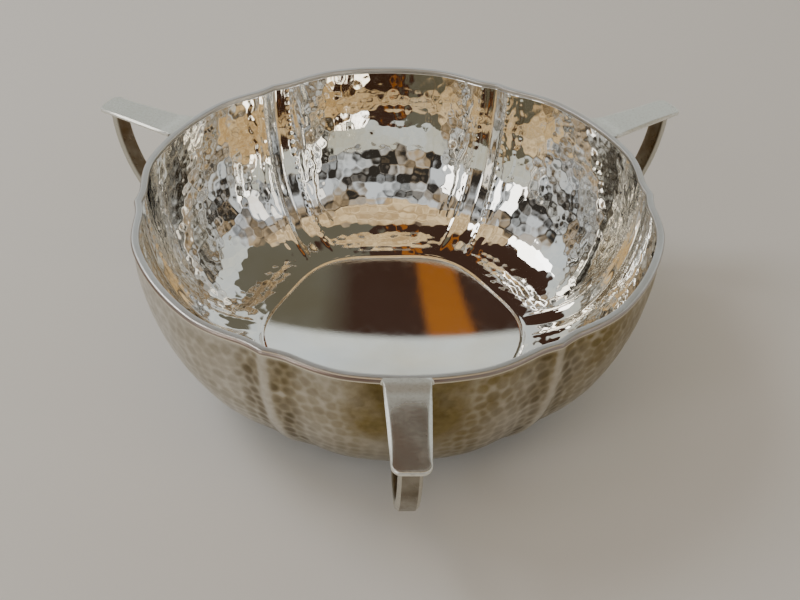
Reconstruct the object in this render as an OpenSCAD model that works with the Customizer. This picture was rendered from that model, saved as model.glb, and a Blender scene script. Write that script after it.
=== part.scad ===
// Hammered three-handled bowl: a six-lobed raised shell with a flat base, a
// rim wire soldered on its edge, and three handles, each a flat plate level
// with the rim on a curved bracket that runs back down to the wall.
// Millimetres, +Z up, origin in the middle of the flat base.
// The front handle points along -Y.

/* [Shell] */
// Diameter over the lobes at the rim
rim_d = 180; // [140:5:240]
// Height from the flat base to the top of the rim
bowl_h = 65; // [50:1:90]
// Diameter of the flat base
base_d = 88; // [70:2:110]
// Thickness of the sheet
wall_t = 1.6; // [1.2:0.1:2.4]
// Fullness of the wall's curve, where 2 is an ellipse
wall_power = 2.2; // [1.8:0.1:3]

/* [Lobes and ribs] */
// How far the outline draws in between two lobes
notch_depth = 3; // [1:0.5:5]
// Half angle over which the outline draws in
notch_angle = 18; // [12:1:28]
// Height of a rib's crest over the notch it stands in
rib_h = 1.4; // [0.4:0.1:2.4]
// Width of a rib at its foot
rib_w = 17; // [10:1:24]
// Turn of the ribs against the handles, in degrees
rib_turn = 1.6; // [-4:0.1:4]

/* [Rim wire] */
// Height of the wire
rim_h = 1.8; // [1.2:0.1:3]
// Width of the wire across its flat top
rim_w = 2.6; // [2:0.1:4]
// Overhang of the wire past the outside of the shell
rim_overhang = 0.4; // [0:0.1:0.6]
// Radius of the wire's outer top edge
rim_round = 1; // [0.5:0.1:1.2]
// Bevel on the wire's other edges
rim_bevel = 0.3; // [0.1:0.1:0.4]

/* [Handle plates] */
// Distance from the bowl's axis to the tip of a plate
plate_reach = 124; // [115:1:150]
// Width of a plate at the rim
plate_root_w = 14; // [12:0.5:18]
// Width of a plate at its tip
plate_tip_w = 11; // [9:0.5:14]
// Radius of a plate's outer corners
plate_corner_r = 3; // [1.5:0.5:4]
// Radius of the flare where a plate meets the rim
plate_flare_r = 1.5; // [0.5:0.5:5]
// Thickness of a plate
plate_t = 1.6; // [1:0.1:1.7]
// Bevel round the top of a plate
plate_bevel = 0.6; // [0.2:0.1:0.8]

/* [Handle brackets] */
// Width of a bracket
bracket_w = 6.8; // [5:0.2:8]
// Thickness of a bracket
bracket_t = 3.2; // [2:0.2:4]
// Setback of a bracket's outer face from the plate's tip
bracket_setback = 4; // [3:0.5:8]
// Drop from the plate to the bottom of the bracket
bracket_drop = 46; // [36:1:48]
// Distance the bracket's curve comes in towards the axis
bracket_run = 40; // [34:1:44]
// Bevel on the long outer edges of a bracket
bracket_bevel = 1; // [0.4:0.1:1.4]
// Bevel on the long inner edges of a bracket
bracket_inner_bevel = 0.5; // [0.2:0.1:1]

/* [Hidden] */

LOBES = 6;
LOBE_ANGLE = 360 / LOBES;
FRONT = 270;
RIGHT = 30;
LEFT = 150;

shell_top = bowl_h - rim_h;
plate_under = bowl_h - plate_t;
shell_r = rim_d / 2 - rim_overhang;
base_r = base_d / 2;
cut = 1; // overlap of one solid into another that is taken away from it

half_steps = 9; // points from a rib to the middle of a lobe
wall_steps = 10; // rings up the wall
arc_steps = 6; // steps in a quarter round
end_steps = 3; // points along half of a plate's inner end
sweep_steps = 16; // rings along a bracket

// Angles beside a rib, closer together where the rib is
rib_offsets = [for (i = [-half_steps : half_steps - 1])
    sign(i) * LOBE_ANGLE / 2 * pow(abs(i) / half_steps, 1.5)];

// How much the outline draws in, at an angle from a rib and a share of the wall's height
function notch(angle, share) =
    notch_depth * share * (1 + cos(180 * min(abs(angle) / notch_angle, 1))) / 2;

// How much the rib stands out, at an angle from its crest on a given radius
function rib(angle, radius, share) =
    let (arc = abs(angle) * PI / 180 * radius)
    rib_h * min(1, share / 0.35) * pow(max(0, 1 - 2 * arc / rib_w), 1.5);

// One closed outline at a height, counter-clockwise from above
function lobed_ring(radius, share, height) =
    [for (lobe = [0 : LOBES - 1]) for (offset = rib_offsets)
        let (angle = rib_turn + LOBE_ANGLE * lobe + offset)
        let (r = radius - notch(offset, share) + rib(offset, radius, share))
        [r * cos(angle), r * sin(angle), height]];

// The rings of a wall that rises in a quarter round from a flat floor
function wall_rings(inner_r, outer_r, floor_z) =
    [for (i = [0 : wall_steps])
        let (turn = 90 * i / wall_steps)
        let (rise = 1 - pow(cos(turn), 2 / wall_power))
        lobed_ring(
            inner_r + (outer_r - inner_r) * sin(turn),
            sin(turn),
            floor_z + (shell_top - floor_z) * rise
        )];

// A closed solid through rings with the same number of points, capped at both ends,
// or joined from the last ring back to the first
module skin(rings, looped = false) {
    n = len(rings[0]);
    m = len(rings);
    sides = [for (j = [0 : looped ? m - 1 : m - 2]) for (i = [0 : n - 1])
        let (next = (j + 1) % m, right = (i + 1) % n)
        [j * n + i, next * n + i, next * n + right, j * n + right]];
    caps = [
        [for (i = [0 : n - 1]) i],
        [for (i = [n - 1 : -1 : 0]) (m - 1) * n + i]
    ];
    polyhedron([for (ring = rings) each ring], looped ? sides : concat(sides, caps), convexity = 6);
}

// The slice of a ring over the lobe that faces a handle, closed at the axis
function lobe_slice(ring, angle) =
    let (first = 2 * half_steps * floor(angle / LOBE_ANGLE) + half_steps)
    concat(
        [[0, 0, ring[0][2]]],
        [for (i = [first : first + 2 * half_steps]) ring[i]]
    );

// ---------- shell ----------

outer_wall = wall_rings(base_r, shell_r, 0);
inner_wall = wall_rings(base_r, shell_r - wall_t, wall_t);

module bowl_shell() {
    foot = [for (point = outer_wall[0]) [point[0], point[1], -cut]];
    down_inside = [for (i = [wall_steps : -1 : 0]) inner_wall[i]];
    color("silver")
    difference() {
        skin(concat([foot], outer_wall, down_inside));
        translate([-rim_d / 2, -rim_d / 2, -2 * cut]) cube([rim_d, rim_d, 2 * cut]);
    }
}

// ---------- rim wire ----------

// The outer side of the wire: its setback from the rim's outline, and its height
rim_side = concat(
    [[rim_bevel, shell_top], [0, shell_top + rim_bevel]],
    [for (i = [0 : arc_steps])
        let (turn = 90 * i / arc_steps)
        [rim_round * (1 - cos(turn)), bowl_h - rim_round * (1 - sin(turn))]]
);

rim_inner_side = [
    [rim_w - rim_bevel, bowl_h], [rim_w, bowl_h - rim_bevel],
    [rim_w, shell_top + rim_bevel], [rim_w - rim_bevel, shell_top]
];

function rim_rings(side) =
    [for (point = side) lobed_ring(rim_d / 2 - point[0], 1, point[1])];

module rim_wire() {
    color("gainsboro")
    skin(rim_rings(concat(rim_side, rim_inner_side)), looped = true);
}

// ---------- handles ----------

// Everything inside the shell's outer side, over the lobe that faces a handle
module shell_inside(angle) {
    skin([for (ring = outer_wall) lobe_slice(ring, angle)]);
}

// How far the wire's outer side stands back from the rim's outline at a height
function wire_setback(height) =
    let (up = max(0, height - (bowl_h - rim_round)))
    rim_round - sqrt(pow(rim_round, 2) - pow(up, 2));

// Half outline of a plate: along the wire, out round the flare, and round the corner
// of the tip, drawn in by an inset
function plate_half(inset, height) =
    let (wire_r = rim_d / 2 - wire_setback(height))
    let (root = plate_root_w / 2 + plate_flare_r - inset)
    let (slope = (plate_root_w - plate_tip_w) / 2 / (plate_reach - rim_d / 2))
    let (corner = plate_corner_r - inset)
    concat(
        [for (i = [1 : end_steps])
            let (across = root * i / end_steps)
            [sqrt(pow(wire_r, 2) - pow(across, 2)), across]],
        [for (i = [0 : arc_steps])
            let (turn = 90 * i / arc_steps, out = plate_flare_r * (1 - cos(turn)))
            [rim_d / 2 + out, root - plate_flare_r * sin(turn) - slope * out]],
        [for (i = [0 : arc_steps])
            let (turn = 90 * i / arc_steps)
            [
                plate_reach - plate_corner_r + corner * sin(turn),
                plate_tip_w / 2 - plate_corner_r + corner * cos(turn)
            ]]
    );

// A whole outline of a plate at a height, where its edges are bevelled
function plate_ring(height) =
    let (top_inset = max(0, height - (bowl_h - plate_bevel)))
    let (under_inset = max(0, plate_under + plate_bevel / 2 - height))
    let (half = plate_half(top_inset + under_inset, height))
    concat(
        [for (point = half) [point[0], -point[1], height]],
        [for (i = [len(half) - 1 : -1 : 0]) [half[i][0], half[i][1], height]]
    );

module handle_plate(angle) {
    rounded = [for (i = [0 : arc_steps]) bowl_h - rim_round * (1 - sin(90 * i / arc_steps))];
    heights = concat([plate_under, plate_under + plate_bevel / 2], rounded);
    color("lightgray")
    rotate([0, 0, angle]) skin([for (height = heights) plate_ring(height)]);
}

// Cross-section of a bracket: depth behind its outer face, and place across its width
bracket_section = [
    [0, bracket_bevel - bracket_w / 2],
    [0, bracket_w / 2 - bracket_bevel],
    [bracket_bevel, bracket_w / 2],
    [bracket_t - bracket_inner_bevel, bracket_w / 2],
    [bracket_t, bracket_w / 2 - bracket_inner_bevel],
    [bracket_t, bracket_inner_bevel - bracket_w / 2],
    [bracket_t - bracket_inner_bevel, -bracket_w / 2],
    [bracket_bevel, -bracket_w / 2]
];

// The section set square to the bracket's curve, moved in towards the axis
function bracket_ring(turn, inwards) =
    let (facing = [cos(turn) / bracket_run, -sin(turn) / bracket_drop])
    let (normal = facing / norm(facing))
    let (x = plate_reach - bracket_setback - bracket_run * (1 - cos(turn)) - inwards)
    let (z = plate_under - bracket_drop * sin(turn))
    [for (point = bracket_section)
        [x - point[0] * normal[0], point[1], z - point[0] * normal[1]]];

module handle_bracket(angle) {
    into_wall = plate_reach - bracket_setback - bracket_run - base_r;
    curve = [for (i = [sweep_steps : -1 : 0]) bracket_ring(90 * i / sweep_steps, 0)];
    color("darkgray")
    difference() {
        rotate([0, 0, angle]) skin(concat([bracket_ring(90, into_wall)], curve));
        shell_inside(angle);
    }
}

bowl_shell();
rim_wire();
handle_plate(FRONT);  // front_handle_plate
handle_plate(RIGHT);  // right_handle_plate
handle_plate(LEFT);  // left_handle_plate
handle_bracket(FRONT);  // front_handle_bracket
handle_bracket(RIGHT);  // right_handle_bracket
handle_bracket(LEFT);  // left_handle_bracket
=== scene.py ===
# Looks of a hammered, silver-plated bowl with three handles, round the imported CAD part.
# Shapes are worked out in millimetres with the CAD source's own rules, and made in metres.
# +Z is up, the flat base stands on Z = 0, and the front handle points along -Y.
# Every CAD node is replaced by a finer mesh inside the same outline.

import math

import bpy
import numpy as np
from mathutils import Matrix, Vector


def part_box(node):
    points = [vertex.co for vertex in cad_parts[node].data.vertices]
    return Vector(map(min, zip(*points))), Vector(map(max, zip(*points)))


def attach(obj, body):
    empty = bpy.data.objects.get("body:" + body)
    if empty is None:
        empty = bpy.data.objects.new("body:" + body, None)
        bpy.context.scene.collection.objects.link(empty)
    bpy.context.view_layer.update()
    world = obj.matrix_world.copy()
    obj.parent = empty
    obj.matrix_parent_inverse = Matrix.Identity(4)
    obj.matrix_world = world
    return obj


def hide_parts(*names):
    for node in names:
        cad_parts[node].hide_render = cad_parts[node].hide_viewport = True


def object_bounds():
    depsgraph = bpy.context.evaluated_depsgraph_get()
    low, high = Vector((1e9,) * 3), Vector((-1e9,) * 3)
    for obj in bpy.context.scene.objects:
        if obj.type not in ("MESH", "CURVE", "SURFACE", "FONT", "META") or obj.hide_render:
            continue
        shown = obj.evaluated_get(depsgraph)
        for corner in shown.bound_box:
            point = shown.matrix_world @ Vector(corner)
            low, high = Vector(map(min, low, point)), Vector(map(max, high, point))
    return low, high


MM = 0.001
TAU = 2 * math.pi

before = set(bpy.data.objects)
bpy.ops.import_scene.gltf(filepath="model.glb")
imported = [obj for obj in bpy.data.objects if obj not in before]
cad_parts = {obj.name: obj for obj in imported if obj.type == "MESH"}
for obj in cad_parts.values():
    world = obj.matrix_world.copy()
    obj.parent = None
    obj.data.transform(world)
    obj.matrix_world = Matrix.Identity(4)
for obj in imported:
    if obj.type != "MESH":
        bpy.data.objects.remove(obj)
cad_low, cad_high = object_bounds()
wire_low, wire_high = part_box("rim_wire")
plate_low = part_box("front_handle_plate")[0]

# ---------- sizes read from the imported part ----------

bowl_h = cad_high.z / MM
rim_r = (wire_high.y - wire_low.y) / 2 / MM
shell_top = wire_low.z / MM
plate_reach = -plate_low.y / MM
plate_under = plate_low.z / MM

# ---------- sizes repeated from the CAD source, in millimetres ----------

base_r = 44
wall_t = 1.6
wall_power = 2.2
lobes = 6
lobe_angle = 360 / lobes
rib_turn = 1.6
notch_depth = 3
notch_angle = 18
rib_h = 1.4
rib_w = 17
rib_full_at = 0.35
rib_power = 1.5
rim_overhang = 0.4
rim_w = 2.6
rim_round = 1
rim_bevel = 0.3
plate_root_w = 14
plate_tip_w = 11
plate_corner_r = 3
bracket_w = 6.8
bracket_t = 3.2
bracket_setback = 4
bracket_drop = 46
bracket_run = 40
HANDLES = {"front": 270, "right": 30, "left": 150}

shell_r = rim_r - rim_overhang

# ---------- detail that only the visual model has, in millimetres ----------

columns = 1152  # points round the shell
wall_rows = 176  # points up each side of the wall
profile_steps = 6000  # steps along a wall's profile when its length is measured
crest_round = 0.6  # rounding of a rib's crest
outer_pitch = 4.5  # distance between the hammer marks outside
inner_pitch = 3.6  # distance between the hammer marks inside
outer_depth = 0.17  # depth of the marks outside
outer_tilt = 0.012  # lean of the marks outside, as a slope
inner_tilt = 0.012  # lean of the facets inside, as a slope
inner_crown = 0.004  # how fast a facet falls away from its middle, per millimetre
inner_step = 0.008  # how far the facets lie above or below each other
dish_curve = 0.00165  # rise of the smooth floor's shallow dish, for a radius of 1
dish_power = 2  # power of the radius with which it rises
dish_floor = 0.55  # height of its middle
dish_blend = 24  # distance past the floor's edge over which the wall takes over
dish_lip = 0.8  # extra rise just past the floor's edge, so that the slope carries on
dish_lip_w = 10  # width of that rise
crease_depth = 0.18  # depth of the line round the smooth floor
crease_w = 0.55  # half width of that line
shoulder_h = 0.3  # height of the two shoulders beside a rib's channel inside
shoulder_at = 5.6  # distance of those shoulders from the middle of the channel
shoulder_w = 1.0  # half width of a shoulder
well_r = 47.2  # mean radius of the smooth floor
well_lobe = 1.2  # how far its edge swings out at the ribs and in between them
rim_columns = 1440  # points round the rim
knee_in, knee_up = 0.08, 0.1  # middle point of a small bevel's profile
plate_ages = {"front": 0.85, "right": 0.35, "left": 0.55}  # how yellowed each plate is
plate_flare_r = 0.6  # radius of a plate's flare at the rim, smaller than the CAD source's
plate_edge = 0.3  # size of the bevel along a plate's lower edge
plate_dip = 0.35  # how far a plate's top sinks below the rim
plate_bevel_w = 0.95  # width of the bevels half way along a plate's sides
plate_bevel_ends = 0.15  # their width at the rim and the tip, as a share of that
plate_bevel_h = 0.6  # height of those bevels
plate_tip_bevel = 0.3  # width of the bevel across a plate's tip
solder_r = 1.1  # size of the solder fillets on a bracket
seed = 7


# ---------- outline rules shared with the CAD source ----------


def from_rib(degrees):
    """Angle to the nearest rib, without its sign."""
    return abs((degrees - rib_turn + lobe_angle / 2) % lobe_angle - lobe_angle / 2)


def outline(radius, share, degrees):
    """Radius of a lobed outline at an angle, for a plain radius and a share of the wall's height."""
    off = from_rib(degrees)
    notch = notch_depth * share * (1 + np.cos(np.pi * np.minimum(off / notch_angle, 1))) / 2
    arc = np.hypot(np.radians(off) * radius, crest_round)
    rib = rib_h * min(1, share / rib_full_at) * np.maximum(0, 1 - 2 * arc / rib_w) ** rib_power
    return radius - notch + rib


def wall_profile(inner_r, outer_r, floor_z, rows):
    """Turn, radius, height and length along one side of the wall at evenly spaced rows."""
    fine = np.linspace(0, np.pi / 2, profile_steps)
    radius = inner_r + (outer_r - inner_r) * np.sin(fine)
    height = floor_z + (shell_top - floor_z) * (1 - np.cos(fine) ** (2 / wall_power))
    run = np.concatenate([[0], np.cumsum(np.hypot(np.diff(radius), np.diff(height)))])
    length = np.linspace(0, run[-1], rows)
    turn = np.interp(length, run, fine)
    return {
        "turn": turn,
        "radius": np.interp(length, run, radius),
        "height": np.interp(length, run, height),
        "length": length,
    }


# ---------- meshes ----------


def new_object(name, points, faces, materials, face_materials=None):
    """A smooth-shaded mesh object from points in millimetres and lists of same-sized faces."""
    mesh = bpy.data.meshes.new(name)
    loops = np.concatenate([f.reshape(-1) for f in faces]).astype(np.int32)
    sizes = np.concatenate([np.full(len(f), f.shape[1]) for f in faces]).astype(np.int32)
    mesh.vertices.add(len(points))
    mesh.vertices.foreach_set("co", (np.asarray(points) * MM).astype(np.float32).ravel())
    mesh.loops.add(len(loops))
    mesh.loops.foreach_set("vertex_index", loops)
    mesh.polygons.add(len(sizes))
    mesh.polygons.foreach_set("loop_start", np.concatenate([[0], np.cumsum(sizes)[:-1]]))
    mesh.polygons.foreach_set("loop_total", sizes)
    mesh.update(calc_edges=True)
    mesh.validate()
    mesh.shade_smooth()
    for material in materials:
        mesh.materials.append(material)
    if face_materials is not None:
        mesh.polygons.foreach_set("material_index", face_materials.astype(np.int32))
    thing = bpy.data.objects.new(name, mesh)
    bpy.context.scene.collection.objects.link(thing)
    return thing


def point_values(thing, name, values):
    """Stores one number for each point of a mesh, for its material to read."""
    store = thing.data.attributes.new(name, "FLOAT", "POINT")
    store.data.foreach_set("value", np.asarray(values, np.float32).ravel())


def band_faces(rows, count):
    """Quads between neighbouring rings of count points each, closed round the ring."""
    j, i = np.meshgrid(np.arange(rows - 1), np.arange(count), indexing="ij")
    right = (i + 1) % count
    low, high = j * count, (j + 1) * count
    return np.stack([low + i, low + right, high + right, high + i], -1).reshape(-1, 4)


def halving_faces(outer, inner, count):
    """Triangles from a ring of count points in to a ring of half as many."""
    k = np.arange(count // 2)
    a, b, c = outer + 2 * k, outer + 2 * k + 1, outer + (2 * k + 2) % count
    d, e = inner + k, inner + (k + 1) % (count // 2)
    return np.concatenate([np.stack(t, -1) for t in ((a, b, d), (b, e, d), (b, c, e))])


# ---------- hammer marks ----------


row_share = 0.88  # distance between rows of strikes, as a share of the pitch
place_jitter = 0.24  # how far a strike strays along its row, as a share of the pitch
row_jitter = 0.2  # how far it strays across its row, as a share of the pitch
depth_jitter = 0.15  # how much harder or softer than usual a strike may be
neighbours = range(-2, 3)  # strikes of a row that are looked at, counted from the nearest
mark_rows = 1.6  # how near a row must be for its marks to be looked at, in reaches
mark_limit = 1.25  # how near a mark must be to cut, in reaches
facet_rows = 2  # how near a row must be for its facets to be looked at, in pitches
facet_limit = 1.5  # how near a facet must be to count, in pitches
facet_low, facet_high = -0.2, 0.3  # the least and the most that a facet moves the inside
no_facet = 9.0  # stands for no facet, and is more than any real move


def strike_rows(profile, start, end, pitch, tilt, rng):
    """Rows of hammer strikes round the wall, from one length along it to another."""
    rows = []
    count = int(round((end - start) / (pitch * row_share)))
    for k in range(count + 1):
        at = start + (end - start) * k / count
        radius = np.interp(at, profile["length"], profile["radius"])
        number = int(round(TAU * radius / pitch))
        stagger = 0.5 * (k % 2)
        place = np.arange(number) + stagger + rng.uniform(-place_jitter, place_jitter, number)
        rows.append({
            "at": at + pitch * rng.uniform(-row_jitter, row_jitter, number),
            "angle": TAU * place / number,
            "depth": rng.uniform(1 - depth_jitter, 1 + depth_jitter, number),
            "lean_across": rng.normal(0, tilt, number),
            "lean_along": rng.normal(0, tilt, number),
            "tone": rng.uniform(0, 1, number),
            "mid": at,
        })
    return rows


def from_strike(row, k, angles, length, radius):
    """Distances across and along the wall from strikes k of a row to points at a length."""
    across = ((angles - row["angle"][k] + np.pi) % TAU - np.pi) * radius
    return across, length - row["at"][k]


def leaning(row, k, across, along):
    """How far the surface of strikes k of a row lies off, because they lean."""
    return row["lean_across"][k] * across + row["lean_along"][k] * along


def hammered(profile, rows, angles, reach, depth):
    """Cut of the deepest mark at each point, how far the next one lies above it, and its tone.

    A mark is a shallow round hollow that leans a little and rises by depth at its reach."""
    shape = (len(profile["length"]), len(angles))
    cut, following, tone = np.zeros(shape), np.zeros(shape), np.full(shape, 0.5)
    for i, (length, radius) in enumerate(zip(profile["length"], profile["radius"])):
        for row in rows:
            if abs(row["mid"] - length) > mark_rows * reach:
                continue
            number = len(row["angle"])
            nearest = np.floor(angles / TAU * number).astype(int)
            for step in neighbours:
                k = (nearest + step) % number
                across, along = from_strike(row, k, angles, length, radius)
                away = np.hypot(across, along)
                mark = depth * row["depth"][k] * ((away / reach) ** 2 - 1)
                mark += leaning(row, k, across, along)
                mark = np.where(away < mark_limit * reach, mark, 0)
                deeper = mark < cut[i]
                following[i] = np.where(deeper, cut[i], np.minimum(following[i], mark))
                cut[i] = np.where(deeper, mark, cut[i])
                tone[i] = np.where(deeper, row["tone"][k], tone[i])
    return cut, following - cut, tone


def struck(points, normals, profile, row, angles):
    """Points and normals of the wall where a row's strikes fell."""
    index = np.interp(row["at"], profile["length"], np.arange(len(profile["length"])))
    index = np.round(index).astype(int)
    column = np.round((row["angle"] - angles[0]) / (TAU / len(angles))).astype(int) % len(angles)
    return points[index, column], normals[index, column]


def faceted(points, profile, rows, angles, pitch):
    """How far each point of the inside moves out to lie on the nearest of its facets.

    A facet touches the wall where it was struck, falls away a little from there, and leans."""
    normals = wall_normals(points)
    planes = [struck(points, normals, profile, row, angles) for row in rows]
    moved = np.zeros(points.shape[:2])
    for i, (length, radius) in enumerate(zip(profile["length"], profile["radius"])):
        nearest_facet = np.full(len(angles), no_facet)
        for row, (middle, facing) in zip(rows, planes):
            if abs(row["mid"] - length) > facet_rows * pitch:
                continue
            number = len(row["angle"])
            nearest = np.floor(angles / TAU * number).astype(int)
            for step in neighbours:
                k = (nearest + step) % number
                offset = middle[k] - points[i]
                lift = (offset * facing[k]).sum(-1) / (normals[i] * facing[k]).sum(-1)
                away = np.sqrt(np.maximum(0, (offset ** 2).sum(-1) - lift ** 2))
                across, along = from_strike(row, k, angles, length, radius)
                lift += leaning(row, k, across, along)
                lift += inner_crown * away ** 2
                lift += inner_step * (row["depth"][k] - 1) / depth_jitter
                lift = np.where(away < facet_limit * pitch, lift, no_facet)
                nearest_facet = np.minimum(nearest_facet, lift)
        moved[i] = np.where(nearest_facet < no_facet - 1, nearest_facet, 0)
    return np.clip(moved, facet_low, facet_high)


def well_edge(degrees):
    """Radius of the smooth floor's edge at an angle."""
    return well_r + well_lobe * np.cos(np.pi * from_rib(degrees) / (lobe_angle / 2))


def dished(radius, height, degrees):
    """Height of the inside, at a radius and angle, with the floor's shallow dish worked in."""
    edge = well_edge(degrees)
    edge_turn = np.arcsin((edge - base_r) / (shell_r - wall_t - base_r))
    edge_height = wall_t + (shell_top - wall_t) * (1 - np.cos(edge_turn) ** (2 / wall_power))
    floor = dish_floor + dish_curve * np.minimum(radius, edge) ** dish_power
    rise = dish_floor + dish_curve * edge ** dish_power - edge_height
    fade = 1 - smooth_step(0, dish_blend, radius - edge)
    past = np.clip((radius - edge) / dish_lip_w, 0, 1)
    lip = dish_lip * (1 - (1 - past) ** 2)
    crease = crease_depth * np.exp(-((radius - edge) / crease_w) ** 2)
    return np.where(radius < edge, floor, height + (rise + lip) * fade) - crease


def softened(field, times):
    """A field on the wall's grid with its sharp creases rubbed down."""
    for _ in range(times):
        field = (np.roll(field, 1, 1) + 2 * field + np.roll(field, -1, 1)) / 4
        field[1:-1] = (field[:-2] + 2 * field[1:-1] + field[2:]) / 4
    return field


def smooth_step(low, high, value):
    """A smooth rise from 0 at the low value to 1 at the high one."""
    share = np.clip((value - low) / (high - low), 0, 1)
    return share * share * (3 - 2 * share)


# Outside, distances from a rib's crest over which something comes in, in millimetres.
marks_off_crest = (0.3, 2.6)
# Over the next two ranges the colour comes back away from a crest. The pale crest is partly wear and
# partly a painted highlight.
stain_and_highlight_off_crest = (0, 4)
tarnish_and_highlight_off_crest = (0.2, 3)
valley_from = (1, 2.6)
valley_to = (6, 13)
# Outside, angles from a handle over which the marks clear and the stain under the rim ends.
clear_of_handle = (3, 20)
stain_by_handle = (4, 16)
# Outside, lengths from the base and from the top edge over which the marks come in.
marks_off_base = (0, 6)
marks_off_edge = (0, 2)
# Outside, shares of the wall's length over which the stain gets darker towards the rim.
tarnish_up = (0.35, 1)
stain_up = (0.55, 0.95)

outer_first, outer_last = 2, 1  # first and last rows of marks, from the base and the top edge
outer_reach = 0.66  # reach of a mark outside, in pitches
gap_range = (0.04, 0.75)  # share of a mark's depth over which the stain in it fills up
painted_reflection_side = 332  # angle of the side with the most tarnishing, painted brown reflection and painted shade

under_rings = [(38, 2), (31, 4), (24, 8), (17, 16), (10, 32), (4.5, 64)]
floor_bands = ((42, 40, 2), (38, 30, 4), (28, 18, 8), (16, 6, 16))
floor_middle = [(3.5, 32), (1.6, 64)]
satin, mirror, standing = 0, 1, 2  # places of the shell's materials


def tarnish_and_painted_shade(degrees, up, clear, valley, crest):
    """How dark and gold the outside's colour is, from 0 to 1. It is real tarnishing, most beside the
    handles. It also holds a painted brown reflection and painted shade, strongest on the front right
    side, and painted shade in the valleys beside the ribs. It is least on the rib crests, partly from
    wear and partly as a painted highlight.
    """
    turn = np.radians(degrees)
    # Painted reflection and shade: the colour darkens and turns gold towards the front right side,
    # and is palest towards the left back.
    sides = 0.48 + 0.48 * np.cos(turn - math.radians(painted_reflection_side)) + 0.05 * np.cos(3 * turn + 1)
    near_top = 0.7 + 0.5 * smooth_step(*tarnish_up, up)[:, None]
    by_handle = 1 + 1.1 * (1 - clear)
    # Partly wear and partly a painted highlight: less darkening on the rib crests.
    crest_wear_and_highlight = 1 - 0.35 * (1 - smooth_step(*tarnish_and_highlight_off_crest, crest))
    # Painted shade: more darkening in the valleys beside the ribs.
    return np.clip(sides[None, :] * near_top * by_handle * (1 + 0.35 * valley) * crest_wear_and_highlight, 0, 1)


def wall_points(profile, angles):
    """Points of one side of the wall, rows by columns, before it is hammered."""
    degrees = np.degrees(angles)
    radius = np.stack([
        outline(r, np.sin(turn), degrees)
        for r, turn in zip(profile["radius"], profile["turn"])
    ])
    height = np.repeat(profile["height"][:, None], len(angles), 1)
    return np.stack([radius * np.cos(angles), radius * np.sin(angles), height], -1)


def wall_normals(points):
    """Unit normals of a wall's grid, pointing away from the bowl's axis."""
    up = np.gradient(points, axis=0)
    round_ = np.roll(points, -1, 1) - np.roll(points, 1, 1)
    normal = np.cross(round_, up)
    return normal / np.linalg.norm(normal, axis=-1, keepdims=True)


def hammered_outside(angles, rng):
    """Points of the outside. For each point it also gives how hollow and light the surface is, and
    how much tarnishing, painted reflection and painted shade it shows.

    The marks are soft and worn, left off the rib crests and faint beside the handles."""
    degrees = np.degrees(angles)
    outer = wall_profile(base_r, shell_r, 0, wall_rows)
    points = wall_points(outer, angles)
    end = outer["length"][-1]
    up = outer["length"] / end
    rows = strike_rows(outer, outer_first, end - outer_last, outer_pitch, outer_tilt, rng)
    cut, gap, tone = hammered(outer, rows, angles, outer_reach * outer_pitch, outer_depth)

    crest = np.radians(from_rib(degrees))[None, :] * outer["radius"][:, None]
    valley = smooth_step(*valley_from, crest) * (1 - smooth_step(*valley_to, crest))
    beside = np.min([abs((degrees - a + 180) % 360 - 180) for a in HANDLES.values()], axis=0)
    clear = smooth_step(*clear_of_handle, beside)[None, :]
    ends = smooth_step(*marks_off_base, outer["length"])
    ends = (ends * smooth_step(*marks_off_edge, end - outer["length"]))[:, None]
    strength = smooth_step(*marks_off_crest, crest) * (0.25 + 0.3 * clear + 0.45 * valley) * ends
    points += wall_normals(points) * (softened(cut, 2) * strength)[..., None]

    # Patina in the hammer marks, with painted light added. It is thinner on the rib crests as a
    # painted highlight, and stronger in the valleys beside them as painted shade.
    stain_and_shade = 0.15 + 0.85 * smooth_step(*stain_and_highlight_off_crest, crest)
    stain_and_shade = stain_and_shade * (0.1 + 0.35 * clear + 0.55 * valley) * ends
    hollow = smooth_step(*gap_range, softened(gap, 3) / outer_depth) * stain_and_shade
    by_handle = (1 - smooth_step(*stain_by_handle, beside))[None, :]
    hollow = np.maximum(hollow, 0.8 * smooth_step(*stain_up, up)[:, None] * by_handle)
    return points, hollow, tone, tarnish_and_painted_shade(degrees, up, clear, valley, crest)


def faceted_inside(angles, rng):
    """Points of the inside: facets down to the smooth floor, and a channel behind each rib.

    The facets fade out in the channels, and a lumpy shoulder runs up both sides of each."""
    degrees = np.degrees(angles)
    inner = wall_profile(base_r, shell_r - wall_t, wall_t, wall_rows)
    points = wall_points(inner, angles)
    edge = np.interp(well_r, inner["radius"], inner["length"])
    rows = strike_rows(inner, edge + 1, inner["length"][-1] + 0.5, inner_pitch, inner_tilt, rng)
    channel = np.radians(from_rib(degrees))[None, :] * inner["radius"][:, None]
    past_edge = inner["radius"][:, None] - well_edge(degrees)[None, :]
    facets = softened(faceted(points, inner, rows, angles, inner_pitch), 1)
    facets *= smooth_step(0.3, 1.2, past_edge) * (0.15 + 0.85 * smooth_step(5, 7.5, channel))
    above_floor = smooth_step(2, 14, inner["length"] - edge)[:, None]
    lumps = 1 + 0.35 * np.sin(inner["length"] * 1.7)[:, None] * np.cos(3 * angles + 1)[None, :]
    shoulder = shoulder_h * np.exp(-((channel - shoulder_at) / shoulder_w) ** 2)
    shoulder = shoulder * above_floor * lumps
    points += wall_normals(points) * (facets - shoulder)[..., None]
    reached = np.hypot(points[..., 0], points[..., 1])
    points[..., 2] = dished(reached, points[..., 2], degrees[None, :])
    return points


def floor_rings():
    """Radii of the floor's rings, and how many times fewer points than the wall each one has."""
    rings = []
    for widest, narrowest, fewer in floor_bands:
        rings += [(radius, fewer) for radius in range(widest, narrowest - 1, -2)]
    return rings + floor_middle


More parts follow.
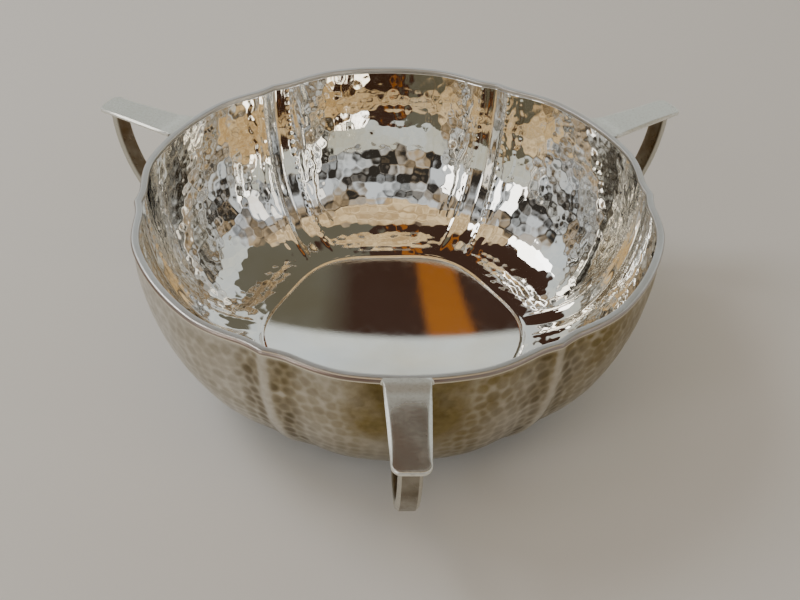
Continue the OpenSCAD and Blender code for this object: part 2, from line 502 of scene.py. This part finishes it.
def cap(edge, first, rings, height_at, middle, turned_over):
    """Points, quads and triangles that close the shell from one of its edges in to the axis."""
    points, quads, tris = [], [], []
    above, above_count = edge, columns
    for radius, fewer in rings:
        number = columns // fewer
        turn = math.radians(rib_turn) + TAU * np.arange(number) / number
        height = height_at(radius, np.degrees(turn))
        points.append(np.stack([radius * np.cos(turn), radius * np.sin(turn), height], -1))
        if number == above_count:
            k = np.arange(number)
            right = (k + 1) % number
            quads.append(np.stack([above + k, above + right, first + right, first + k], -1))
        else:
            tris.append(halving_faces(above, first, above_count))
        above, above_count = first, number
        first += number
    points.append(np.array([[0, 0, middle]]))
    k = np.arange(above_count)
    right = (k + 1) % above_count
    tris.append(np.stack([above + k, above + right, np.full(above_count, first)], -1))
    if turned_over:
        tris = [made[:, ::-1] for made in tris]
    return points, quads, tris


def shell_piece(materials):
    """The whole shell as one closed mesh: base, hammered wall, top edge, faceted inside, floor."""
    rng = np.random.default_rng(seed)
    angles = math.radians(rib_turn) + TAU * np.arange(columns) / columns
    outside, hollow, tone, tarnish_and_shade = hammered_outside(angles, rng)
    inside = faceted_inside(angles, rng)
    wall_count = 2 * wall_rows * columns

    base_points, _, base_tris = cap(
        0, wall_count, under_rings, lambda radius, degrees: np.zeros(len(degrees)), 0, True
    )
    first = wall_count + sum(len(ring) for ring in base_points)
    floor_points, floor_quads, floor_tris = cap(
        wall_count - columns,
        first,
        floor_rings(),
        lambda radius, degrees: dished(radius, 0, degrees),
        dish_floor,
        False,
    )
    points = np.concatenate(
        [outside.reshape(-1, 3), inside[::-1].reshape(-1, 3)] + base_points + floor_points
    )
    kinds = [np.repeat([satin] * wall_rows + [mirror] * (wall_rows - 1), columns)]
    for faces, kind in ((floor_quads, mirror), (base_tris, standing), (floor_tris, mirror)):
        kinds += [np.full(len(made), kind) for made in faces]
    thing = new_object(
        "hammered_shell",
        points,
        [band_faces(2 * wall_rows, columns)] + floor_quads + base_tris + floor_tris,
        materials,
        np.concatenate(kinds),
    )
    plain = len(points) - hollow.size
    for name, field, elsewhere in (
        ("hollow", hollow, 0),
        ("tone", tone, 0.5),
        ("tarnish_and_shade", tarnish_and_shade, 0.5),
    ):
        point_values(thing, name, np.concatenate([field.ravel(), np.full(plain, elsewhere)]))
    return thing


def filed(x, y):
    """Small unevenness left by filing, in millimetres and never above zero."""
    wave = np.sin(x * 0.21 + 1.3) * np.sin(y * 0.17 + 0.4) + 0.6 * np.sin(x * 0.53 + y * 0.41)
    return -0.015 * (1.6 + wave)


def rim_side():
    """Setback and height along the rim's section, from under its outer edge over and back."""
    steps = 8
    side = [(rim_bevel, shell_top), (knee_in, shell_top + knee_up), (0, shell_top + rim_bevel)]
    for i in range(steps + 1):
        turn = math.pi / 2 * i / steps
        side.append((rim_round * (1 - math.cos(turn)), bowl_h - rim_round * (1 - math.sin(turn))))
    side += [(1.4, bowl_h), (1.9, bowl_h), (rim_w - rim_bevel, bowl_h)]
    side += [(rim_w - knee_in, bowl_h - knee_up), (rim_w, bowl_h - rim_bevel)]
    return side + [(rim_w, shell_top + rim_bevel), (rim_w - rim_bevel, shell_top)]


def rim_piece(material):
    """The wire on the shell's edge, with a flat top and a round outer edge."""
    count = rim_columns
    angles = math.radians(rib_turn) + TAU * np.arange(count) / count
    side = rim_side()
    rings = []
    for setback, height in side:
        radius = outline(rim_r - setback, 1, np.degrees(angles))
        x, y = radius * np.cos(angles), radius * np.sin(angles)
        z = height + filed(x, y) * (height > shell_top + rim_bevel)
        rings.append(np.stack([x, y, z], -1))
    last = (len(side) - 1) * count
    k = np.arange(count)
    right = (k + 1) % count
    closing = np.stack([last + k, last + right, right, k], -1)
    faces = np.concatenate([band_faces(len(side), count), closing])
    thing = new_object("rim_band", np.concatenate(rings), [faces], [material])
    row = np.arange(len(side))
    # Painted reflection: the round outer side is coloured brown, most towards the left front.
    left_shade = 0.55 + 0.45 * np.cos(angles - math.radians(235))
    point_values(thing, "side", np.outer((row >= 3) & (row <= 7), left_shade))
    # Painted highlight: the lower edge is coloured bright.
    point_values(thing, "edge", np.outer(row <= 2, np.ones(count)))
    return thing


# ---------- handles ----------


def turned(points, degrees):
    """Points built along +X, turned to a handle's own angle."""
    turn = math.radians(degrees)
    x = points[..., 0] * math.cos(turn) - points[..., 1] * math.sin(turn)
    y = points[..., 0] * math.sin(turn) + points[..., 1] * math.cos(turn)
    return np.stack([x, y, points[..., 2]], -1)


def wire_setback(height):
    """How far the wire's outer side stands back from the rim's outline at a height."""
    up = max(0, height - (bowl_h - rim_round))
    return rim_round - math.sqrt(max(0, rim_round ** 2 - up ** 2))


plate_end_steps = 6
plate_side_steps = 34
plate_arc_steps = 8


def plate_half(inset, height):
    """Half of a plate's outline, drawn in by an inset: along the wire, out, and round the tip."""
    wire_r = rim_r - wire_setback(height)
    bevel = min(inset, plate_bevel_w)
    past_bevel = inset - bevel
    end_inset = bevel * plate_bevel_ends + past_bevel
    tip_inset = bevel * plate_tip_bevel / plate_bevel_w + past_bevel
    bulge = bevel * (1 - plate_bevel_ends)
    root = plate_root_w / 2 + plate_flare_r - end_inset
    slope = (plate_root_w - plate_tip_w) / 2 / (plate_reach - rim_r)
    corner = plate_corner_r - end_inset
    cx = plate_reach - tip_inset - corner
    cy = plate_tip_w / 2 - end_inset - corner
    points = []
    for i in range(plate_end_steps):
        across = root * (i + 0.5) / plate_end_steps
        points.append((math.sqrt(wire_r ** 2 - across ** 2), across))
    for i in range(plate_arc_steps + 1):
        turn = math.pi / 2 * i / plate_arc_steps
        out = plate_flare_r * (1 - math.cos(turn))
        points.append((rim_r + out, root - plate_flare_r * math.sin(turn) - slope * out))
    x0, y0 = points[-1]
    x1, y1 = cx, cy + corner
    for i in range(1, plate_side_steps):
        share = i / plate_side_steps
        drawn_in = bulge * math.sin(math.pi * share) ** 0.7
        points.append((x0 + (x1 - x0) * share, y0 + (y1 - y0) * share - drawn_in))
    for i in range(plate_arc_steps + 1):
        turn = math.pi / 2 * i / plate_arc_steps
        points.append((cx + corner * math.sin(turn), cy + corner * math.cos(turn)))
    for i in range(1, 4):
        points.append((cx + corner, cy * (1 - i / 3.5)))
    return np.array(points)


def plate_ring(inset, height, squeeze=0):
    """A whole outline of a plate, whose sides may be squeezed in towards its middle line."""
    half = plate_half(inset, height)
    across = half[:, 1] * (1 - squeeze)
    left = np.stack([half[:, 0], -across, np.full(len(half), height)], -1)
    right = np.stack([half[:, 0], across, np.full(len(half), height)], -1)
    return np.concatenate([left, right[::-1]])


def plate_piece(name, degrees, age, material):
    """A handle's flat plate with wide bevels along its top, more or less yellowed with age."""
    inner_inset = plate_bevel_w + 1.0
    rings = [
        plate_ring(plate_edge, plate_under, 0.6),
        plate_ring(plate_edge, plate_under, 0.3),
        plate_ring(plate_edge, plate_under),
        plate_ring(knee_in, plate_under + knee_up),
        plate_ring(0, plate_under + plate_edge),
        plate_ring(0, bowl_h - plate_bevel_h - 0.1),
    ]
    for share in (0.04, 0.3, 0.6, 0.9):
        rings.append(plate_ring(plate_bevel_w * share, bowl_h - plate_bevel_h * (1 - share)))
    bevel_end = len(rings) - 1
    for inset in (plate_bevel_w + 0.05, plate_bevel_w + 0.4, inner_inset):
        rings.append(plate_ring(inset, bowl_h))
    for squeeze in (0.25, 0.5, 0.75):
        rings.append(plate_ring(inner_inset, bowl_h, squeeze))
    count = len(rings[0])
    points = np.concatenate(rings)
    from_rim = points[:, 0] - rim_r
    worn = age * smooth_step(3, 14, from_rim)
    upper = (points[:, 2] - plate_under) / (bowl_h - plate_under)
    points[:, 2] -= plate_dip * np.maximum(0, upper) * smooth_step(0.6, 5, from_rim)
    points = turned(points, degrees)
    points[:, 2] += filed(points[:, 0], points[:, 1]) * (upper > 0.5)
    k = np.arange(count // 2 - 1)
    ladder = np.stack([k, k + 1, count - 2 - k, count - 1 - k], -1)
    faces = [
        band_faces(len(rings), count),
        ladder[:, ::-1],
        ladder + (len(rings) - 1) * count,
    ]
    thing = new_object(name, points, [np.concatenate(faces)], [material])
    thing.data.set_sharp_from_angle(angle=math.radians(40))
    inside = np.clip((np.arange(len(rings)) - bevel_end) / 3, 0, 1)
    point_values(thing, "inside", np.repeat(inside, count) * (0.15 + worn))
    return thing


bracket_bevel = 1
bracket_inner_bevel = 0.5


def bracket_section(outset):
    """Section of a bracket as depth behind its outer face and place across, drawn out all round."""
    half, b, c, t = bracket_w / 2, bracket_bevel, bracket_inner_bevel, bracket_t
    corner = [
        (0, 0), (0, half - b - 0.9), (0, half - b - 0.12), (0.05, half - b + 0.07),
        (b * 0.5, half - b * 0.5), (b - 0.07, half - 0.05), (b + 0.12, half),
        (t / 2, half), (t - c - 0.1, half), (t - c + 0.07, half - 0.05),
        (t - 0.05, half - c + 0.07), (t, half - c - 0.1), (t, half - c - 1.0), (t, 0),
    ]
    section = np.array(corner + [(back, -across) for back, across in corner[-2:0:-1]])
    middle = np.array([t / 2, 0])
    away = section - middle
    return section + outset * np.sign(away) * np.minimum(1, abs(away) / 0.6)


def bracket_piece(name, degrees, material):
    """A handle's curved bracket, with a solder fillet at the plate and another at the wall."""
    steps, last_steps = 60, 12  # rings down the curve, and on from its end to the wall
    fillet_from = 0.86  # share of the way to the wall at which the fillet there begins
    rings = []
    outer_x = plate_reach - bracket_setback
    for i in range(steps + 1):
        turn = math.pi / 2 * (i / steps) ** 1.15
        facing = np.array([math.cos(turn) / bracket_run, -math.sin(turn) / bracket_drop])
        normal = facing / np.linalg.norm(facing)
        x = outer_x - bracket_run * (1 - math.cos(turn))
        z = plate_under - bracket_drop * math.sin(turn)
        below = max(0, 1 - (plate_under - z) / solder_r)
        section = bracket_section(solder_r * (1 - math.sqrt(1 - below ** 2)))
        ring_x = x - section[:, 0] * normal[0]
        ring_z = z - section[:, 0] * normal[1]
        rings.append(np.stack([ring_x, section[:, 1], ring_z], -1))
    last = rings[-1]
    for k in range(1, last_steps + 1):
        share = k / last_steps
        fill = max(0, share - fillet_from) / (1 - fillet_from)
        section = bracket_section(0.8 * solder_r * fill ** 2)
        y = section[:, 1]
        z = plate_under - bracket_drop + section[:, 0]
        turn = np.arccos((1 - z / shell_top) ** (wall_power / 2))
        wall = base_r + (shell_r - base_r) * np.sin(turn)
        wall_x = np.sqrt(wall ** 2 - y ** 2) - 0.5
        x = last[:, 0] + (wall_x - last[:, 0]) * share
        rings.append(np.stack([x, y, z], -1))
    count = len(rings[0])
    points = turned(np.concatenate(rings), degrees)
    faces = band_faces(len(rings), count)[:, ::-1]
    k = np.arange(1, count // 2 - 1)
    ladder = np.stack([k, k + 1, count - 1 - k, count - k], -1)
    quads = [faces, ladder, (ladder + (len(rings) - 1) * count)[:, ::-1]]
    tips = []
    for base, flip in ((0, False), ((len(rings) - 1) * count, True)):
        for tri in ((0, 1, count - 1), (count // 2 - 1, count // 2, count // 2 + 1)):
            t = [base + v for v in tri]
            tips.append(t[::-1] if flip else t)
    thing = new_object(name, points, [np.concatenate(quads), np.array(tips)], [material])
    section = bracket_section(0)
    # Painted shade and reflection: marks the inner face, which the material colours dark brown.
    inner = np.tile(smooth_step(bracket_t - 0.1, bracket_t - 0.02, section[:, 0]), len(rings))
    flat = np.tile(
        (abs(section[:, 1]) < bracket_w / 2 - bracket_bevel) & (section[:, 0] < 0.02), len(rings)
    )
    point_values(thing, "inner", inner)
    point_values(thing, "face", flat)
    return thing


# ---------- materials ----------


def node_tools(name):
    """A metal material, its node tree and its shader."""
    material = bpy.data.materials.new(name)
    material.use_nodes = True
    tree = material.node_tree
    tree.nodes.clear()
    output = tree.nodes.new("ShaderNodeOutputMaterial")
    shader = tree.nodes.new("ShaderNodeBsdfPrincipled")
    tree.links.new(shader.outputs["BSDF"], output.inputs["Surface"])
    shader.inputs["Metallic"].default_value = 1
    return material, tree, shader


def noise(tree, coords, scale, detail):
    """Noise from 0 to 1 at a scale in marks per unit of the coordinates."""
    node = tree.nodes.new("ShaderNodeTexNoise")
    node.inputs["Scale"].default_value = scale
    node.inputs["Detail"].default_value = detail
    tree.links.new(coords, node.inputs["Vector"])
    return node.outputs["Fac"]


def spread(tree, value, low, high, to_low=0.0, to_high=1.0):
    """A value mapped from one range to another and kept inside it."""
    node = tree.nodes.new("ShaderNodeMapRange")
    node.clamp = True
    tree.links.new(value, node.inputs["Value"])
    node.inputs["From Min"].default_value = low
    node.inputs["From Max"].default_value = high
    node.inputs["To Min"].default_value = to_low
    node.inputs["To Max"].default_value = to_high
    return node.outputs["Result"]


def product(tree, a, b):
    """The product of two values, kept between 0 and 1."""
    node = tree.nodes.new("ShaderNodeMath")
    node.operation = "MULTIPLY"
    node.use_clamp = True
    tree.links.new(a, node.inputs[0])
    tree.links.new(b, node.inputs[1])
    return node.outputs["Value"]


def blend_colour(tree, share, a, b):
    """Colour a where share is 0 and colour b where it is 1."""
    node = tree.nodes.new("ShaderNodeMix")
    node.data_type = "RGBA"
    sockets = [s for s in node.inputs if s.type == "RGBA"]
    tree.links.new(share, node.inputs["Factor"])
    for socket, value in zip(sockets, (a, b)):
        if isinstance(value, tuple):
            socket.default_value = (*value, 1)
        else:
            tree.links.new(value, socket)
    return next(s for s in node.outputs if s.type == "RGBA")


def stored(tree, name):
    """A number stored at the mesh's points."""
    node = tree.nodes.new("ShaderNodeAttribute")
    node.attribute_name = name
    return node.outputs["Fac"]


def bumped(tree, shader, height, distance, strength):
    """Gives a shader fine relief from a height."""
    node = tree.nodes.new("ShaderNodeBump")
    node.inputs["Distance"].default_value = distance
    node.inputs["Strength"].default_value = strength
    tree.links.new(height, node.inputs["Height"])
    tree.links.new(node.outputs["Normal"], shader.inputs["Normal"])


def coordinates(tree):
    """The piece's own coordinates, in metres."""
    return tree.nodes.new("ShaderNodeTexCoord").outputs["Object"]


def mirror_material():
    """Inside: bright polished silver, a little warmer in patches."""
    material, tree, shader = node_tools("polished_silver")
    coords = coordinates(tree)
    patches = spread(tree, noise(tree, coords, 22, 4), 0.42, 0.68)
    clouds = spread(tree, noise(tree, coords, 260, 3), 0.3, 0.75)
    colour = blend_colour(tree, patches, (0.93, 0.92, 0.89), (0.84, 0.78, 0.66))
    tree.links.new(colour, shader.inputs["Base Color"])
    roughness = spread(tree, clouds, 0, 1, 0.02, 0.06)
    tree.links.new(roughness, shader.inputs["Roughness"])
    bumped(tree, shader, noise(tree, coords, 1300, 2), 0.00001, 0.2)
    return material


def satin_material():
    """Outside: worn silver, darkest in the hammer marks and bright on the ridges. Its gold and brown
    are real tarnishing together with a painted brown reflection and painted shade, strongest on the
    front right side and in the valleys beside the ribs. They thin out on the rib crests, partly from
    wear and partly as a painted highlight.
    """
    material, tree, shader = node_tools("satin_silver")
    coords = coordinates(tree)
    patches = spread(tree, noise(tree, coords, 38, 4), 0.34, 0.66, 0.45, 1.25)
    grime = spread(tree, noise(tree, coords, 420, 4), 0.35, 0.7)
    tone = spread(tree, stored(tree, "tone"), 0, 1, 0.5, 1)
    hollow = stored(tree, "hollow")
    cells = product(tree, hollow, tone)
    # The stored value is tarnishing together with painted reflection, painted shade and a painted
    # highlight.
    tarnish_and_shade = product(tree, stored(tree, "tarnish_and_shade"), patches)
    film_and_reflection = product(tree, tarnish_and_shade, spread(tree, hollow, 0, 0.3, 0.6, 1))
    deep = product(tree, cells, spread(tree, tarnish_and_shade, 0, 0.6, 0.65, 1))
    # Gold and brown: real tarnishing, and also a painted brown reflection and painted shade.
    silver = blend_colour(tree, grime, (0.76, 0.74, 0.69), (0.66, 0.63, 0.56))
    gold = blend_colour(tree, grime, (0.31, 0.24, 0.09), (0.24, 0.175, 0.055))
    brown = blend_colour(tree, grime, (0.15, 0.11, 0.045), (0.105, 0.075, 0.03))
    colour = blend_colour(tree, deep, blend_colour(tree, film_and_reflection, silver, gold), brown)
    tree.links.new(colour, shader.inputs["Base Color"])
    tree.links.new(spread(tree, deep, 0, 1, 0.3, 0.42), shader.inputs["Roughness"])
    bumped(tree, shader, noise(tree, coords, 1500, 3), 0.00003, 0.4)
    return material


def base_material():
    """Underside: satin silver with faint marks from standing."""
    material, tree, shader = node_tools("standing_silver")
    coords = coordinates(tree)
    worn = spread(tree, noise(tree, coords, 60, 5), 0.35, 0.7)
    colour = blend_colour(tree, worn, (0.70, 0.68, 0.63), (0.50, 0.45, 0.36))
    tree.links.new(colour, shader.inputs["Base Color"])
    tree.links.new(spread(tree, worn, 0, 1, 0.34, 0.5), shader.inputs["Roughness"])
    bumped(tree, shader, noise(tree, coords, 900, 3), 0.00003, 0.5)
    return material


def rim_material():
    """Rim: satin silver. Its round outer side has a painted brown reflection, strongest towards the
    left front, and its lower edge has a painted highlight.
    """
    material, tree, shader = node_tools("rim_silver")
    coords = coordinates(tree)
    patches = spread(tree, noise(tree, coords, 45, 4), 0.35, 0.7)
    specks = spread(tree, noise(tree, coords, 900, 3), 0.35, 0.62)
    colour = blend_colour(tree, patches, (0.66, 0.65, 0.63), (0.55, 0.52, 0.48))
    # Painted reflection: brown on the round outer side.
    side = product(tree, stored(tree, "side"), spread(tree, patches, 0, 1, 1, 0.6))
    colour = blend_colour(tree, side, colour, (0.23, 0.15, 0.11))
    # Painted highlight: a bright lower edge.
    colour = blend_colour(tree, stored(tree, "edge"), colour, (0.88, 0.82, 0.66))
    tree.links.new(colour, shader.inputs["Base Color"])
    tree.links.new(spread(tree, specks, 0, 1, 0.3, 0.38), shader.inputs["Roughness"])
    bumped(tree, shader, noise(tree, coords, 2200, 3), 0.00001, 0.12)
    return material


def plate_material():
    """Plates: satin silver, yellower and duller in the middle, bright on the bevels."""
    material, tree, shader = node_tools("plate_silver")
    coords = coordinates(tree)
    patches = spread(tree, noise(tree, coords, 110, 4), 0.35, 0.65)
    gold = product(tree, stored(tree, "inside"), spread(tree, patches, 0, 1, 0.6, 1))
    colour = blend_colour(tree, gold, (0.84, 0.83, 0.76), (0.58, 0.54, 0.46))
    specks = spread(tree, noise(tree, coords, 1100, 4), 0.46, 0.72, 0, 0.3)
    colour = blend_colour(tree, specks, colour, (0.44, 0.40, 0.31))
    tree.links.new(colour, shader.inputs["Base Color"])
    tree.links.new(spread(tree, gold, 0, 0.7, 0.42, 0.2), shader.inputs["Roughness"])
    bumped(tree, shader, noise(tree, coords, 700, 2), 0.00004, 0.4)
    return material


def bracket_material():
    """Brackets: satin silver, brown on the flat of the outer face, and dark brown on the inner face
    as painted shade and reflection.
    """
    material, tree, shader = node_tools("bracket_silver")
    coords = coordinates(tree)
    patches = spread(tree, noise(tree, coords, 130, 4), 0.3, 0.7)
    fine = spread(tree, noise(tree, coords, 700, 3), 0.3, 0.7)
    face = product(tree, stored(tree, "face"), spread(tree, patches, 0, 1, 0.65, 1))
    # Painted shade and reflection: the inner face is dark brown.
    inner = product(tree, stored(tree, "inner"), spread(tree, patches, 0, 1, 0.6, 1))
    colour = blend_colour(tree, face, (0.54, 0.52, 0.45), (0.15, 0.12, 0.075))
    colour = blend_colour(tree, inner, colour, (0.15, 0.095, 0.045))
    tree.links.new(colour, shader.inputs["Base Color"])
    tree.links.new(spread(tree, fine, 0, 1, 0.25, 0.42), shader.inputs["Roughness"])
    bumped(tree, shader, noise(tree, coords, 900, 3), 0.00003, 0.5)
    return material


# ---------- pieces ----------


def place(thing, node, slot):
    """Hides a CAD node, so that the piece shows in its place, and attaches the piece to the root
    body.
    """
    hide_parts(node)
    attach(thing, "root")


place(
    shell_piece([satin_material(), mirror_material(), base_material()]),
    "bowl_shell",
    "hammered_silver",
)
place(rim_piece(rim_material()), "rim_wire", "rim_silver")
plate_finish, bracket_finish = plate_material(), bracket_material()
for side, degrees in HANDLES.items():
    plate = plate_piece(f"{side}_plate", degrees, plate_ages[side], plate_finish)
    place(plate, f"{side}_handle_plate", "plate_silver")
    bracket = bracket_piece(f"{side}_bracket", degrees, bracket_finish)
    place(bracket, f"{side}_handle_bracket", "bracket_silver")

# ---------- stage ----------

floor_half, floor_drop = 4.0, 0.0002  # half of the floor's width, and its depth below the bowl
lamp_aim = 0.03  # height at which the lamps are aimed
room_light = 0.85  # strength of the room's light

# The room's zones: ranges of a direction's X, Y or Z over which one zone gives way to the next.
horizon_z = (0.06, 0.16)
shelf_z = (0.66, 0.675)
overhead_z = (0.8, 0.83)
behind_y = (0.1, 0.16)
beam_left_x = (-0.033, -0.027)
beam_right_x = (0.004, 0.01)
olive_x = (0.07, 0.1)

camera_azimuth, camera_elevation, camera_roll = -3.15, 39.92, 1.96  # degrees
camera_distance = 0.3571
camera_lens = 53.04
aim_right, aim_back = -0.00094, -0.05473  # aim of the camera, from the middle of the rim


def floor_piece():
    """A plain pale floor, just under the bowl."""
    mesh = bpy.data.meshes.new("floor")
    x, z = floor_half, -floor_drop
    mesh.from_pydata([(-x, -x, z), (x, -x, z), (x, x, z), (-x, x, z)], [], [(0, 1, 2, 3)])
    material = bpy.data.materials.new("pale_floor")
    material.use_nodes = True
    shader = material.node_tree.nodes["Principled BSDF"]
    shader.inputs["Base Color"].default_value = (0.78, 0.77, 0.75, 1)
    shader.inputs["Roughness"].default_value = 0.9
    mesh.materials.append(material)
    thing = bpy.data.objects.new("floor", mesh)
    bpy.context.scene.collection.objects.link(thing)


def soft_box(name, place_at, size, power, colour=(1, 1, 1)):
    """A rectangular lamp that faces the bowl."""
    lamp = bpy.data.lights.new(name, "AREA")
    lamp.shape = "RECTANGLE"
    lamp.size, lamp.size_y = size
    lamp.energy = power
    lamp.color = colour
    thing = bpy.data.objects.new(name, lamp)
    thing.location = place_at
    aim = Vector((0, 0, lamp_aim)) - Vector(place_at)
    thing.rotation_mode = "QUATERNION"
    thing.rotation_quaternion = aim.to_track_quat("-Z", "Y")
    bpy.context.scene.collection.objects.link(thing)


def studio():
    """A soft room, which the bowl mirrors, and three soft lamps.

    The room is pale at the horizon and cream overhead. Behind the bowl it is pale up to a shelf,
    with dark wood and one orange beam above. Elsewhere it has light and dark patches."""
    world = bpy.data.worlds.new("studio")
    world.use_nodes = True
    tree = world.node_tree
    back = tree.nodes["Background"]
    towards = tree.nodes.new("ShaderNodeTexCoord").outputs["Generated"]
    split = tree.nodes.new("ShaderNodeSeparateXYZ")
    tree.links.new(towards, split.inputs["Vector"])
    x, y, z = (split.outputs[axis] for axis in "XYZ")

    tints = spread(tree, noise(tree, towards, 2.2, 2), 0.42, 0.58)
    tints = blend_colour(tree, tints, (0.62, 0.46, 0.28), (0.95, 1.02, 1.1))
    patches = spread(tree, noise(tree, towards, 4.6, 4), 0.42, 0.6)
    room = blend_colour(tree, patches, (0.045, 0.04, 0.035), tints)

    beam_left = spread(tree, x, *beam_left_x)
    beam_right = spread(tree, x, *beam_right_x, 1, 0)
    wood = spread(tree, x, *olive_x, 1, 0)
    wood = blend_colour(tree, wood, (0.17, 0.16, 0.12), (0.065, 0.035, 0.025))
    wood = blend_colour(tree, product(tree, beam_left, beam_right), wood, (0.40, 0.14, 0.03))
    clouds = spread(tree, noise(tree, towards, 11, 4), 0.4, 0.62)
    bright = blend_colour(tree, clouds, (0.84, 0.91, 0.93), (0.98, 1.03, 1.0))
    far_wall = blend_colour(tree, spread(tree, z, *shelf_z), bright, wood)
    room = blend_colour(tree, spread(tree, y, *behind_y), room, far_wall)

    overhead = product(tree, spread(tree, z, *overhead_z), spread(tree, y, *behind_y, 1, 0))
    cream = blend_colour(tree, clouds, (0.72, 0.5, 0.27), (1.3, 1.0, 0.6))
    room = blend_colour(tree, overhead, room, cream)
    room = blend_colour(tree, spread(tree, z, *horizon_z), (0.75, 0.76, 0.78), room)
    tree.links.new(room, back.inputs["Color"])
    back.inputs["Strength"].default_value = room_light
    bpy.context.scene.world = world
    soft_box("key", (-0.8, 0.35, 1.0), (0.5, 0.5), 4.5)
    soft_box("right", (1.05, -0.5, 0.6), (0.25, 0.5), 0.5, (1, 0.94, 0.84))
    soft_box("left", (-1.0, -0.75, 0.5), (0.3, 0.7), 2.8)


def camera():
    """A camera at the photograph's angle."""
    azimuth, elevation = math.radians(camera_azimuth), math.radians(camera_elevation)
    roll = math.radians(camera_roll)
    centre = (wire_low + wire_high) / 2
    target = Vector((centre.x + aim_right, centre.y + aim_back, cad_high.z))
    back = Vector((
        math.sin(azimuth) * math.cos(elevation),
        -math.cos(azimuth) * math.cos(elevation),
        math.sin(elevation),
    ))
    level = Vector((0, 0, 1)).cross(back).normalized()
    upward = back.cross(level)
    x = math.cos(roll) * level + math.sin(roll) * upward
    y = -math.sin(roll) * level + math.cos(roll) * upward
    data = bpy.data.cameras.new("camera")
    data.lens = camera_lens
    data.sensor_width = 36
    data.clip_start = 0.01
    thing = bpy.data.objects.new("camera", data)
    turn = Matrix((x, y, back)).transposed().to_4x4()
    thing.matrix_world = Matrix.Translation(target + back * camera_distance) @ turn
    bpy.context.scene.collection.objects.link(thing)
    bpy.context.scene.camera = thing


floor_piece()
studio()
camera()
